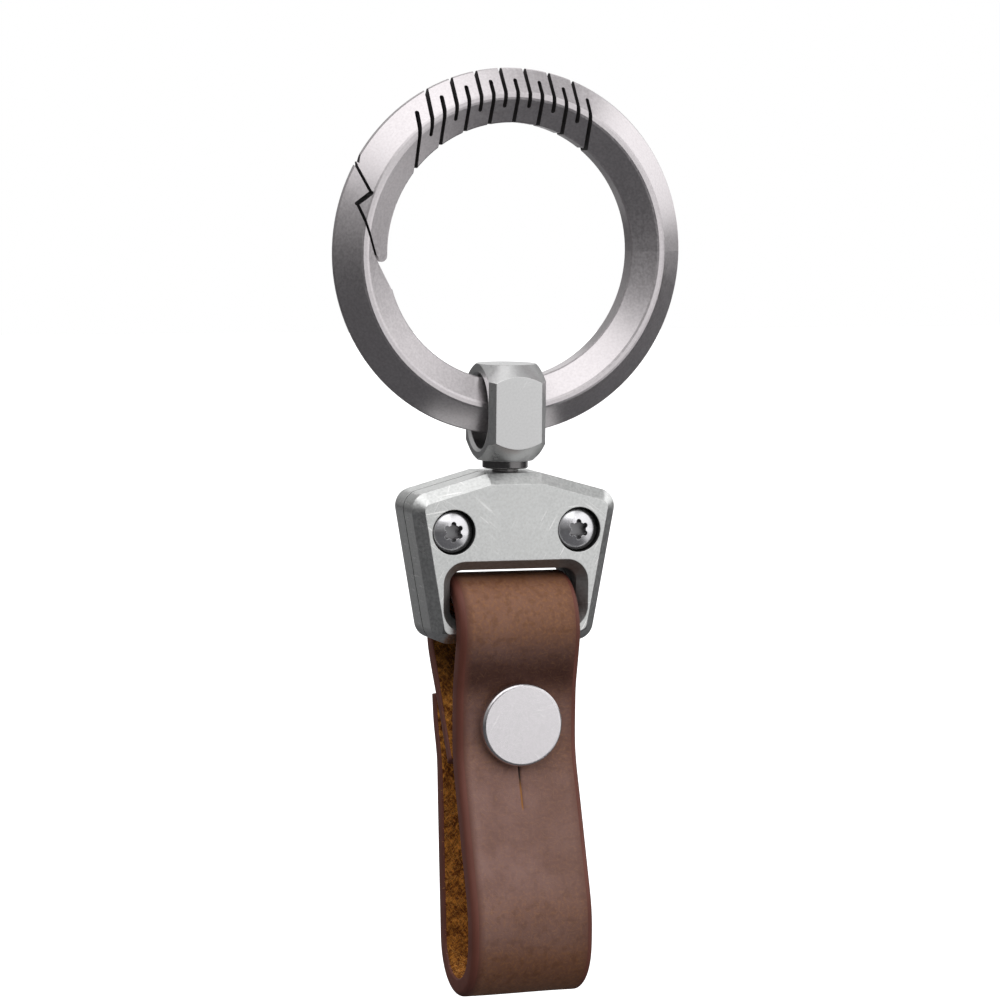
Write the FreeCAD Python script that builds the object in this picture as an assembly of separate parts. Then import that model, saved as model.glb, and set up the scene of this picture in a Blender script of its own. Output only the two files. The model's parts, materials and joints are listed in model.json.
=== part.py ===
"""Keychain bottle opener: spring-gate ring, swivel eye, two-plate opener housing and leather strap.

All sizes are millimetres. The origin is the centre of the ring's bore, +Z is up and -Y is the
front, so the part hangs from the ring and everything below it has negative Z.
"""
import FreeCAD, Part
import math
import os

os.makedirs("parts", exist_ok=True)
V = FreeCAD.Vector

# ---- ring with the gate sprung out of its own metal -------------------------------------------
ring_bore_d = 25.6
ring_section = 5.4          # radial width of the ring
ring_thick = 4.6            # front to back
ring_bore_land = 2.0        # flat along Y on the bore
ring_rim_land = 0.5         # flat along Y on the rim
ring_band = 0.6             # flat on the front and back, between the two cones
ring_band_inset = 2.4       # bore wall to that flat
ring_edge = 0.12            # edge break left by tumbling and blasting
slot_width = 0.4
slot_pitch = 1.27
slot_pairs = 7              # slots open to the rim; one more is open to the bore
slot_shift = -1.1           # middle of the slotted stretch, left of the ring's axis
slot_bridge_rim = 1.05      # metal left outside a slot that opens to the bore
slot_bridge_bore = 1.5      # metal left inside a slot that opens to the rim
spring_margin = 0.6         # last slot's centre to where the solid metal starts
latch_kerf = 0.26
latch_step_kerf = 0.42
hook_top_angle = 28.0       # degrees above the ring's level axis
hook_exit_angle = 29.2
hook_heel_angle = 21.5
hook_heel_depth = 2.2       # from the rim
hook_throat_angle = 16.6
hook_throat_depth = 1.4
gate_tip_angle = -0.8
gate_tip_depth = 3.9
arm_tip_angle = -16.0
gate_corner_rise = 0.9      # corner taken off the gate's rim, beside the hook
gate_corner_cut = 0.3

# ---- swivel eye and its pin ---------------------------------------------------------------------
eye_hole_r = 3.1            # ends of the tall hole
eye_hole_stretch = 1.2      # upper end's centre to the lower one's
eye_seat_gap = 0.1          # hole to the edges of the ring's bore land, at the eye's flanks
eye_wall = 1.0              # front and back of the hole
eye_crown = 1.1             # above the hole
eye_base = 1.15             # below the hole
eye_width = 6.0             # along X
eye_edge = 0.6              # chamfer of the four upright edges
eye_rim_bevel = 0.3
eye_top_flat_d = 6.0
eye_bottom_flat_d = 5.6
pin_collar_d = 4.6
pin_collar_h = 0.8
pin_tenon_d = 2.2
pin_shank_d = 2.6
pin_head_d = 5.2
pin_head_h = 1.5
pin_gap = 0.3               # collar to the top of the housing
pin_edge = 0.15
thread_fit = 0.02           # radial, parts that are screwed or pressed together
touching = 0.01             # two points closer than this are the same point
running_fit = 0.05          # radial, and each side of the washer
washer_h = 0.4
washer_d = 5.0

# ---- housing: two mirrored plates -----------------------------------------------------------------
plate_thick = 3.8
plate_chamfer = 1.05
window_chamfer = 0.95
seam_break = 0.12
corner_r = 1.8
window_r = 1.3
top_flat = 5.66
top_slope = 15.4            # degrees, shoulders falling away from the top flat
shoulder_flare = 2.65       # shoulder corner beyond the foot corner, along X
leg = 1.61                  # window edge to the foot corner, along X
top_to_bar = 15.8
bar_h = 2.2
neck = 1.6                  # metal above the pin head's pocket
pocket_play = 0.2
screw_inset = 4.34          # shoulder corner to the screw axis, along X
screw_drop = 5.7            # top of the housing to the screw axis
screw_head_d = 4.1
screw_head_h = 1.4
screw_dome_h = 0.55
screw_d = 2.5
screw_reach = 2.9           # seam to the screw's end
counterbore_play = 0.2
counterbore_depth = 1.4
clearance_hole_play = 0.1
thread_runout = 0.25
lobes = 6                   # of the socket
lobe_circle_r = 0.78
lobe_r = 0.26
lobe_core_r = 0.74
lobe_depth = 1.0

# ---- leather strap and its stud ---------------------------------------------------------------------
strap_width = 12.6
strap_thick = 1.8
strap_edge_r = 0.4          # burnished edges
strap_play = 0.11           # inside of the fold to the bar's corners
strap_side_play = 0.35      # each side, in the window
fold_gap = 0.5              # outside of the fold to the top of the window
front_wrap = 12.0           # degrees the fold carries on below the bar's level, at the front
layer_gap = 0.5             # between the two rear layers at the stud
rear_lean = 5.7             # degrees off upright
front_lean = 20.0
stud_drop = 9.05            # bar centre to the stud
middle_tail = 6.5           # stud to the end of the middle layer
back_tail = 2.0             # stud to the end of the back layer
rear_bend_rise = 2.8        # stud to where the middle layer turns back towards the bar
loop_drop = 36.2            # bar centre to the bottom of the strap
loop_r = 4.55               # on the middle of the leather
loop_upright = 1.5          # straight stretch above the loop's front quarter
front_bend_top_r = 6.0
front_bend_r = 12.0
front_bend_drop = 12.1      # bar centre to where the front layer starts to lean
front_bend_bottom_r = 10.0
rear_bend_r = 3.0
stud_cap_d = 8.3
stud_cap_h = 1.2
stud_cap_gap = 0.45         # cap to the leather
stud_cap_edge = 0.3
stud_post_d = 3.6
stud_hole_play = 0.1
stud_screw_d = 2.2
stud_screw_reach = 4.2
stud_head_d = 5.0
stud_head_h = 0.8
stud_head_gap = 0.1
stud_slot_width = 0.7
stud_slot_depth = 0.45
slit_width = 0.15
slit_reach = 7.6            # stud axis to the lower end of the slit

# ---- places that follow from the sizes ------------------------------------------------------------
bore_r = ring_bore_d / 2
rim_r = bore_r + ring_section
band_r = bore_r + ring_band_inset
eye_land_x = eye_width / 2 - eye_rim_bevel
seat_z = -math.sqrt(bore_r**2 - eye_land_x**2) + eye_seat_gap
eye_z = seat_z - math.sqrt(eye_hole_r**2 - (ring_bore_land / 2)**2)
eye_hole_top = eye_z + eye_hole_r
eye_hole_bottom = eye_z - eye_hole_stretch - eye_hole_r
eye_depth = 2 * (eye_hole_r + eye_wall)
eye_top = eye_hole_top + eye_crown
eye_bottom = eye_hole_bottom - eye_base
housing_top = eye_bottom - pin_collar_h - pin_gap
bar_z = housing_top - top_to_bar
fold_inner_r = math.hypot(plate_thick, bar_h / 2 - plate_chamfer) + strap_play
fold_r = fold_inner_r + strap_thick / 2
window_top = bar_z + fold_inner_r + strap_thick + fold_gap
window_bottom = bar_z + bar_h / 2
housing_bottom = bar_z - bar_h / 2
window_half = strap_width / 2 + strap_side_play
foot_x = window_half + leg
shoulder_x = foot_x + shoulder_flare
screw_x = shoulder_x - screw_inset
screw_z = housing_top - screw_drop
stud_z = bar_z - stud_drop
spring_left = slot_shift - slot_pairs * slot_pitch - spring_margin
spring_right = slot_shift + slot_pairs * slot_pitch + spring_margin


# ---- helpers ----------------------------------------------------------------------------------------
def box(low, high):
    """An upright box between two opposite corners."""
    size = [b - a for a, b in zip(low, high)]
    return Part.makeBox(size[0], size[1], size[2], V(low[0], low[1], low[2]))


def along(radius, start, end):
    """A cylinder from one point to another."""
    axis = V(*end) - V(*start)
    return Part.makeCylinder(radius, axis.Length, V(*start), axis)


def on_ring(angle, depth):
    """(x, z) on the ring's left side: degrees above its level axis, and depth in from the rim."""
    turn = math.radians(angle)
    radius = rim_r - depth
    return -radius * math.cos(turn), radius * math.sin(turn)


def prism_xz(points, half):
    """A polygon in the XZ plane, extruded to both sides of Y = 0."""
    corners = [V(x, -half, z) for x, z in points]
    outline = Part.makePolygon(corners + corners[:1])
    return Part.Face(outline).extrude(V(0, 2 * half, 0))


def kerf(start, end, width, half):
    """A saw cut from one (x, z) point to another, with round ends."""
    run = V(end[0] - start[0], 0, end[1] - start[1])
    side = V(run.z, 0, -run.x).normalize() * (width / 2)
    corners = [(start[0] + side.x, start[1] + side.z), (end[0] + side.x, end[1] + side.z),
               (end[0] - side.x, end[1] - side.z), (start[0] - side.x, start[1] - side.z)]
    cut = prism_xz(corners, half)
    for x, z in (start, end):
        cut = cut.fuse(along(width / 2, (x, -half, z), (x, half, z)))
    return cut


def corner_arc(before, corner, after, radius):
    """The tangent arc that rounds a corner: its start, middle and end as 2-D vectors."""
    to_before = (before - corner).normalize()
    to_after = (after - corner).normalize()
    half_angle = to_before.getAngle(to_after) / 2
    reach = radius / math.tan(half_angle)
    bisector = (to_before + to_after).normalize()
    centre = corner + bisector * (radius / math.sin(half_angle))
    return corner + to_before * reach, centre - bisector * radius, corner + to_after * reach


def rounded_outline(points, radii):
    """A closed wire through the corners, each one rounded by its radius (0 leaves it sharp)."""
    corners = [V(*point) for point in points]
    count = len(corners)
    arcs = []
    for i in range(count):
        if radii[i]:
            arcs.append(corner_arc(corners[i - 1], corners[i], corners[(i + 1) % count], radii[i]))
        else:
            arcs.append((corners[i],))
    edges = []
    for i in range(count):
        if len(arcs[i]) == 3:
            edges.append(Part.Arc(*arcs[i]).toShape())
        edges.append(Part.LineSegment(arcs[i][-1], arcs[(i + 1) % count][0]).toShape())
    return Part.Wire(edges)


def strip(points, radii, thick, width):
    """A strip of even thickness along a path in the YZ plane, centred on X = 0.

    Each side of the strip is the path's lines and arcs moved out by half the thickness.
    """
    path = [V(0, y, z) for y, z in points]
    sides = []
    for sign in (1, -1):
        normals = []
        for start, end in zip(path, path[1:]):
            run = (end - start).normalize()
            normals.append(V(0, run.z, -run.y) * (sign * thick / 2))
        shifted = [path[0] + normals[0]]
        for i in range(1, len(path) - 1):
            turn = normals[i - 1].getAngle(normals[i])
            middle = (normals[i - 1] + normals[i]).normalize()
            shifted.append(path[i] + middle * (thick / 2 / math.cos(turn / 2)))
        shifted.append(path[-1] + normals[-1])
        edges = []
        last = shifted[0]
        for i in range(1, len(path) - 1):
            run_in = path[i] - path[i - 1]
            run_out = path[i + 1] - path[i]
            inside = run_in.cross(run_out).x * sign > 0
            radius = radii[i] + (thick / 2 if inside else -thick / 2)
            start, middle, end = corner_arc(shifted[i - 1], shifted[i], shifted[i + 1], radius)
            if last.distanceToPoint(start) > touching:
                edges.append(Part.LineSegment(last, start).toShape())
            else:
                start = last
            edges.append(Part.Arc(start, middle, end).toShape())
            last = end
        edges.append(Part.LineSegment(last, shifted[-1]).toShape())
        sides.append((edges, shifted[0], shifted[-1]))
    caps = [Part.LineSegment(sides[0][k], sides[1][k]).toShape() for k in (1, 2)]
    loop = Part.Wire(Part.__sortEdges__(sides[0][0] + sides[1][0] + caps))
    face = Part.Face(loop)
    face.translate(V(-width / 2, 0, 0))
    return face.extrude(V(width, 0, 0))


def save(shape, node):
    """Check the solids and write one STEP file."""
    if not shape.isValid():
        raise ValueError(node + " isn't valid")
    shape.exportStep("parts/" + node + ".step")
    size = shape.BoundBox
    print(node, len(shape.Solids), "solid(s)", round(shape.Volume, 2), "mm3,",
          "Z", round(size.ZMin, 2), "to", round(size.ZMax, 2))


# ---- ring -------------------------------------------------------------------------------------------
def make_ring():
    """The whole ring: an eight-sided section with broken edges, turned about Y."""
    inner = ring_bore_land / 2
    outer = ring_rim_land / 2
    half = ring_thick / 2
    section = [(bore_r, -inner), (band_r, -half), (band_r + ring_band, -half), (rim_r, -outer),
               (rim_r, outer), (band_r + ring_band, half), (band_r, half), (bore_r, inner)]
    corners = cut_corners([V(x, y, 0) for x, y in section], ring_edge)
    outline = Part.makePolygon(corners + corners[:1])
    return Part.Face(outline).revolve(V(0, 0, 0), V(0, 1, 0), 360)


def cut_corners(points, size):
    """The same polygon with a short side in place of each corner."""
    cut = []
    for i, point in enumerate(points):
        for other in (points[i - 1], points[(i + 1) % len(points)]):
            cut.append(point + (other - point).normalize() * size)
    return cut


def make_latch_cut():
    """The Z-shaped cut that parts the gate from the hook, and the open wedge below the gate's tip."""
    half = ring_thick
    out = on_ring(hook_exit_angle, -latch_kerf)
    heel = on_ring(hook_heel_angle, hook_heel_depth)
    throat = on_ring(hook_throat_angle, hook_throat_depth)
    tip = on_ring(gate_tip_angle, gate_tip_depth)
    arm = on_ring(arm_tip_angle, ring_section)
    cut = kerf(out, heel, latch_kerf, half)
    cut = cut.fuse(kerf(heel, throat, latch_step_kerf, half))
    cut = cut.fuse(kerf(throat, tip, latch_kerf, half))
    tip_r = (ring_section - gate_tip_depth) / 2
    beyond = ring_section + tip_r
    inner = on_ring(gate_tip_angle, beyond)
    below = on_ring(arm_tip_angle, beyond)
    tip_x, tip_z = on_ring(gate_tip_angle, gate_tip_depth + tip_r)
    rounding = along(tip_r, (tip_x, -half, tip_z), (tip_x, half, tip_z))
    cut = cut.fuse(prism_xz([tip, arm, below, inner], half).cut(rounding))
    cut = cut.fuse(kerf(tip, arm, latch_kerf, half))
    hook_top = on_ring(hook_top_angle, 0)[1]
    out_x, out_z = on_ring(hook_exit_angle, 0)
    notch = [(out_x, out_z), (out_x - ring_section, out_z), (out_x - ring_section, hook_top),
             (out_x + (out_z - hook_top) * (heel[0] - out[0]) / (out[1] - heel[1]), hook_top)]
    cut = cut.fuse(prism_xz(notch, half))
    rise = hook_exit_angle + math.degrees(gate_corner_rise / rim_r)
    corner = [on_ring(hook_exit_angle, gate_corner_cut), on_ring(rise, 0), on_ring(rise, -latch_kerf),
              on_ring(hook_exit_angle, -latch_kerf)]
    return cut.fuse(prism_xz(corner, half))


def slot_places():
    """Every slot as its x and whether it opens to the bore; they alternate, bore side first."""
    for i in range(2 * slot_pairs + 1):
        yield slot_shift + (i - slot_pairs) * slot_pitch, i % 2 == 0


def make_slots():
    """Upright slots with round ends, cut from the bore and the rim in turn."""
    slots = []
    for x, from_bore in slot_places():
        if from_bore:
            stop = math.sqrt((rim_r - slot_bridge_rim - slot_width / 2)**2 - x**2)
            slots.append(kerf((x, 0), (x, stop), slot_width, ring_thick))
        else:
            stop = math.sqrt((bore_r + slot_bridge_bore + slot_width / 2)**2 - x**2)
            slots.append(kerf((x, stop), (x, rim_r + ring_section), slot_width, ring_thick))
    return slots


def make_ring_pieces():
    """The ring parted into the fixed arm with its hook, the slotted spring and the gate."""
    ring = make_ring().cut(make_latch_cut())
    zone = box((spring_left, -ring_thick, 0), (spring_right, ring_thick, 2 * rim_r))
    spring = ring.common(zone)
    for slot in make_slots():
        spring = spring.cut(slot)
    rest = sorted(ring.cut(zone).Solids, key=lambda solid: solid.Volume)
    gate = rest[-2]
    return rest[-1], spring.Solids[0], gate


# ---- swivel eye and pin -----------------------------------------------------------------------------
def make_eye():
    """A faceted barrel: a chamfered block inside two turned cones, bored along X for the ring."""
    x = eye_width / 2
    y = eye_depth / 2
    plan = [(x - eye_edge, -y), (x, -y + eye_edge), (x, y - eye_edge), (x - eye_edge, y),
            (eye_edge - x, y), (-x, y - eye_edge), (-x, eye_edge - y), (eye_edge - x, -y)]
    outline = Part.makePolygon([V(px, py, eye_bottom) for px, py in plan + plan[:1]])
    block = Part.Face(outline).extrude(V(0, 0, eye_top - eye_bottom))
    wide = math.hypot(x, y)
    top_r = eye_top_flat_d / 2
    bottom_r = eye_bottom_flat_d / 2
    profile = [(0, eye_bottom), (bottom_r, eye_bottom), (wide, eye_bottom + wide - bottom_r),
               (wide, eye_top - wide + top_r), (top_r, eye_top), (0, eye_top)]
    half_section = Part.Face(Part.makePolygon([V(r, 0, z) for r, z in profile + profile[:1]]))
    eye = block.common(half_section.revolve(V(0, 0, 0), V(0, 0, 1), 360))
    through = eye_hole_outline(-x, 0)
    eye = eye.cut(Part.Face(through).extrude(V(eye_width, 0, 0)))
    for side in (-1, 1):
        mouth = eye_hole_outline(side * x, eye_rim_bevel)
        throat = eye_hole_outline(side * (x - eye_rim_bevel), 0)
        eye = eye.cut(Part.makeLoft([mouth, throat], True, True))
    tenon_r = pin_tenon_d / 2 + thread_fit
    return eye.cut(along(tenon_r, (0, 0, eye_bottom - pin_gap), (0, 0, eye_z)))


def eye_hole_outline(x, grow):
    """The tall hole's outline in the plane at x, grown all round: two half circles and two lines."""
    radius = eye_hole_r + grow
    low_z = eye_z - eye_hole_stretch
    top = Part.Arc(V(x, -radius, eye_z), V(x, 0, eye_z + radius), V(x, radius, eye_z)).toShape()
    bottom = Part.Arc(V(x, radius, low_z), V(x, 0, low_z - radius), V(x, -radius, low_z)).toShape()
    back = Part.LineSegment(V(x, radius, eye_z), V(x, radius, low_z)).toShape()
    front = Part.LineSegment(V(x, -radius, low_z), V(x, -radius, eye_z)).toShape()
    return Part.Wire([top, back, bottom, front])


def make_pin():
    """The turned pin: tenon in the eye, collar under it, shank through the neck, head in the pocket."""
    tenon_top = eye_hole_bottom - pin_edge
    collar_bottom = eye_bottom - pin_collar_h
    head_top = pocket_top() - washer_h - 2 * running_fit
    pin = along(pin_tenon_d / 2, (0, 0, eye_bottom), (0, 0, tenon_top))
    collar = along(pin_collar_d / 2, (0, 0, collar_bottom), (0, 0, eye_bottom))
    low_edges = [edge for edge in collar.Edges if edge.BoundBox.ZMax < eye_bottom - pin_edge]
    pin = pin.fuse(collar.makeFillet(pin_edge, [e for e in low_edges if e.BoundBox.ZLength < pin_edge]))
    pin = pin.fuse(along(pin_shank_d / 2, (0, 0, head_top), (0, 0, collar_bottom)))
    head = along(pin_head_d / 2, (0, 0, head_top - pin_head_h), (0, 0, head_top))
    rims = [edge for edge in head.Edges if edge.BoundBox.ZLength < pin_edge]
    return pin.fuse(head.makeChamfer(pin_edge, rims)).removeSplitter()


def pocket_top():
    """The ceiling of the pocket that holds the pin's head."""
    return housing_top - neck


def make_washer():
    """The thrust washer between the pin's head and the pocket's ceiling."""
    top = pocket_top() - running_fit
    washer = along(washer_d / 2, (0, 0, top - washer_h), (0, 0, top))
    hole_r = pin_shank_d / 2 + running_fit
    return washer.cut(along(hole_r, (0, 0, top - 2 * washer_h), (0, 0, top + washer_h)))


# ---- housing ------------------------------------------------------------------------------------------
def make_plate():
    """The front plate: outline, window and bar, with chamfers on its outer face's edges."""
    half_top = top_flat / 2
    run = shoulder_x - half_top
    shoulder_z = housing_top - run * math.tan(math.radians(top_slope))
    right = [(half_top, housing_top), (shoulder_x, shoulder_z), (foot_x, housing_bottom)]
    corners = right + [(-x, z) for x, z in reversed(right)]
    radii = [0, corner_r, corner_r, corner_r, corner_r, 0]
    outline = rounded_outline([(x, -plate_thick, z) for x, z in corners], radii)
    body = Part.Face(outline).extrude(V(0, plate_thick, 0))
    body = break_edges(body, -plate_thick, plate_chamfer)
    body = break_edges(body, 0, seam_break)
    window = Part.Face(window_outline(-plate_thick, 0)).extrude(V(0, plate_thick, 0))
    rim = window_outline(-plate_thick, window_chamfer)
    throat = window_outline(window_chamfer - plate_thick, 0)
    return body.cut(window).cut(Part.makeLoft([rim, throat], True, True))


def window_outline(y, grow):
    """The window's rounded outline in the plane at y, grown on every side."""
    x = window_half + grow
    top = window_top + grow
    bottom = window_bottom - grow
    corners = [(x, y, top), (x, y, bottom), (-x, y, bottom), (-x, y, top)]
    return rounded_outline(corners, [window_r + grow] * 4)


def break_edges(shape, y, size):
    """Chamfer the edges that lie in the plane at y."""
    def is_there(edge):
        return max(abs(edge.BoundBox.YMin - y), abs(edge.BoundBox.YMax - y)) < touching
    return shape.makeChamfer(size, [edge for edge in shape.Edges if is_there(edge)])


def drill_swivel(plate):
    """The neck bore and the head pocket, half in each plate."""
    depth = washer_h + pin_head_h + 3 * running_fit + pocket_play
    floor = pocket_top() - depth
    neck_bore = along(pin_shank_d / 2 + running_fit, (0, 0, floor), (0, 0, housing_top + neck))
    pocket = along(pin_head_d / 2 + pocket_play, (0, 0, floor), (0, 0, pocket_top()))
    return plate.cut(neck_bore).cut(pocket)


def make_front_plate():
    """Counterbored for the two screws."""
    plate = drill_swivel(make_plate())
    for side in (-1, 1):
        x = side * screw_x
        plate = plate.cut(along(screw_head_d / 2 + counterbore_play, (x, -2 * plate_thick, screw_z),
                                (x, counterbore_depth - plate_thick, screw_z)))
        plate = plate.cut(along(screw_d / 2 + clearance_hole_play, (x, -plate_thick, screw_z),
                                (x, plate_thick, screw_z)))
    return plate


def make_rear_plate():
    """The same plate mirrored, with threaded blind holes for the screws."""
    plate = make_plate().mirror(V(0, 0, 0), V(0, 1, 0))
    plate = drill_swivel(plate)
    for side in (-1, 1):
        x = side * screw_x
        plate = plate.cut(along(screw_d / 2 + thread_fit, (x, -plate_thick, screw_z),
                                (x, screw_reach + thread_runout, screw_z)))
    return plate


def make_screw(x):
    """A button-head screw with a six-lobed socket, its head seated in the counterbore."""
    seat = counterbore_depth - plate_thick
    crown = seat - screw_head_h
    head_r = screw_head_d / 2
    dome_r = (head_r**2 + screw_dome_h**2) / (2 * screw_dome_h)
    head = along(head_r, (x, seat, screw_z), (x, crown, screw_z))
    head = head.common(Part.makeSphere(dome_r, V(x, crown + dome_r, screw_z)))
    screw = head.fuse(along(screw_d / 2, (x, seat, screw_z), (x, screw_reach, screw_z)))
    bottom = crown + lobe_depth
    screw = screw.cut(along(lobe_core_r, (x, crown - lobe_depth, screw_z), (x, bottom, screw_z)))
    for i in range(lobes):
        turn = math.radians(360 * (i + 0.5) / lobes)
        lobe_x = x + lobe_circle_r * math.cos(turn)
        lobe_z = screw_z + lobe_circle_r * math.sin(turn)
        screw = screw.cut(along(lobe_r, (lobe_x, crown - lobe_depth, lobe_z), (lobe_x, bottom, lobe_z)))
    return screw


# ---- strap and stud -----------------------------------------------------------------------------------
def tail_y(z):
    """The back layer's middle, on its leaning line that is tangent to the bottom loop."""
    lean = math.radians(rear_lean)
    touch_y = loop_y() + loop_r * math.cos(lean)
    touch_z = loop_z() - loop_r * math.sin(lean)
    return touch_y + (z - touch_z) * math.tan(lean)


def loop_z():
    """The level of the bottom loop's centre."""
    return bar_z - loop_drop + strap_thick / 2 + loop_r


def front_y():
    """The front layer's middle at the stud."""
    return -(fold_r - front_inset())


def front_inset():
    """How far the front layer comes in from the fold's front to the stud."""
    wrap = math.radians(front_wrap)
    return fold_r * (1 - math.cos(wrap)) + stud_drop * math.tan(wrap) / 2


def loop_y():
    """The bottom loop's centre, below the front layer's leaning stretch."""
    drop = bar_z - front_bend_drop - lean_end_z()
    return front_y() - drop * math.tan(math.radians(front_lean)) + loop_r


def lean_end_z():
    """Where the front layer stops leaning and drops straight into the loop."""
    return loop_z() + front_bend_bottom_r * math.tan(math.radians(front_lean / 2)) + loop_upright


def middle_y():
    """The middle layer's middle at the stud."""
    return tail_y(stud_z) - (strap_thick + layer_gap) / math.cos(math.radians(rear_lean))


def strap_path():
    """Corners and radii of the strap's middle line, from the middle tail over the bar to the back tail."""
    lean = math.tan(math.radians(rear_lean))
    rear_bend_z = stud_z + rear_bend_rise
    rear_bend_y = middle_y() + (rear_bend_z - stud_z) * lean
    below_bar = bar_z - rear_bend_z
    rear_wrap = math.asin(fold_r / math.hypot(rear_bend_y, below_bar)) - math.atan2(rear_bend_y, below_bar)
    rear_corner_y = fold_r * math.tan(math.radians(45) + rear_wrap / 2)
    front_corner_y = -fold_r * math.tan(math.radians(45 + front_wrap / 2))
    slope = math.tan(math.radians(front_wrap))
    leave_y = -fold_r * math.cos(math.radians(front_wrap))
    leave_z = bar_z - fold_r * math.sin(math.radians(front_wrap))
    front_corner_z = leave_z - (front_y() - leave_y) / slope
    bottom = loop_z() - loop_r
    points = [(middle_y() - middle_tail * lean, stud_z - middle_tail),
              (rear_bend_y, rear_bend_z),
              (rear_corner_y, bar_z + fold_r),
              (front_corner_y, bar_z + fold_r),
              (front_y(), front_corner_z),
              (front_y(), bar_z - front_bend_drop),
              (loop_y() - loop_r, lean_end_z()),
              (loop_y() - loop_r, bottom),
              (tail_y(bottom), bottom),
              (tail_y(stud_z + back_tail), stud_z + back_tail)]
    radii = [0, rear_bend_r, fold_r, fold_r, front_bend_top_r, front_bend_r, front_bend_bottom_r,
             loop_r, loop_r, 0]
    return points, radii


def make_strap():
    """One strip folded over the bar and looped below, pierced by the stud and slit under its cap."""
    points, radii = strap_path()
    strap = strip(points, radii, strap_thick, strap_width)
    long_edges = [edge for edge in strap.Edges if edge.BoundBox.XLength < strap_edge_r]
    strap = strap.makeFillet(strap_edge_r, long_edges)
    hole = along(stud_post_d / 2 + stud_hole_play, (0, -strap_width, stud_z), (0, strap_width, stud_z))
    slit = box((-slit_width / 2, front_y() - 2 * strap_width, stud_z - slit_reach),
               (slit_width / 2, front_y() + strap_thick, stud_z))
    return strap.cut(hole).cut(slit)


def make_stud_cap():
    """The flat button and its hollow post."""
    cap_back = front_y() - strap_thick / 2 - stud_cap_gap
    cap = along(stud_cap_d / 2, (0, cap_back - stud_cap_h, stud_z), (0, cap_back, stud_z))
    rims = [edge for edge in cap.Edges if edge.BoundBox.YLength < stud_cap_edge]
    cap = cap.makeFillet(stud_cap_edge, rims)
    cap = cap.fuse(along(stud_post_d / 2, (0, cap_back, stud_z), (0, stud_seat(), stud_z)))
    return cap.cut(along(stud_screw_d / 2 + thread_fit, (0, stud_seat() - stud_screw_reach, stud_z),
                         (0, stud_seat() + stud_head_h, stud_z)))


def stud_seat():
    """Where the stud screw's head bears, just behind the back layer."""
    leather_y = tail_y(stud_z + stud_head_d / 2)
    return leather_y + strap_thick / 2 / math.cos(math.radians(rear_lean)) + stud_head_gap


def make_stud_screw():
    """The slotted screw that closes the stud from behind."""
    seat = stud_seat()
    head = along(stud_head_d / 2, (0, seat, stud_z), (0, seat + stud_head_h, stud_z))
    outer = [edge for edge in head.Edges if edge.BoundBox.YMin > seat + stud_head_h / 2]
    head = head.makeFillet(stud_head_h / 3, outer)
    end = seat - stud_screw_reach + thread_runout
    screw = head.fuse(along(stud_screw_d / 2, (0, end, stud_z), (0, seat, stud_z)))
    slot = box((-stud_head_d, seat + stud_head_h - stud_slot_depth, stud_z - stud_slot_width / 2),
               (stud_head_d, seat + 2 * stud_head_h, stud_z + stud_slot_width / 2))
    return screw.cut(slot)


# ---- build --------------------------------------------------------------------------------------------
ring_frame, ring_spring, ring_gate = make_ring_pieces()
save(ring_frame, "ring_frame")
save(ring_spring, "ring_spring")
save(ring_gate, "ring_gate")
save(make_eye(), "swivel_eye")
save(make_pin(), "swivel_pin")
save(make_washer(), "thrust_washer")
save(make_front_plate(), "front_plate")
save(make_rear_plate(), "rear_plate")
save(make_screw(-screw_x), "plate_screw_left")
save(make_screw(screw_x), "plate_screw_right")
save(make_strap(), "leather_strap")
save(make_stud_cap(), "stud_cap")
save(make_stud_screw(), "stud_screw")
print("eye swing axis z", round(eye_z, 3), " bar axis z", round(bar_z, 3), " stud z", round(stud_z, 3))
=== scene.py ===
# %% [markdown]
# # A keychain bottle opener, dressed piece by piece
#
# The hard parts of this opener are already solid: a ring with a gate sprung out of its own metal,
# a swivel eye, a housing of two plates and a stud. They arrive as a fixed frame in metres. This
# lesson gives each metal its own finish and makes the one soft part, a leather strap, as a
# surface. The first cell loads the frame, and everything later is placed from it.
# %% Load the solid parts
import json
import math
import bpy
import bmesh
import numpy as np
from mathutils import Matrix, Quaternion, Vector


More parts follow.
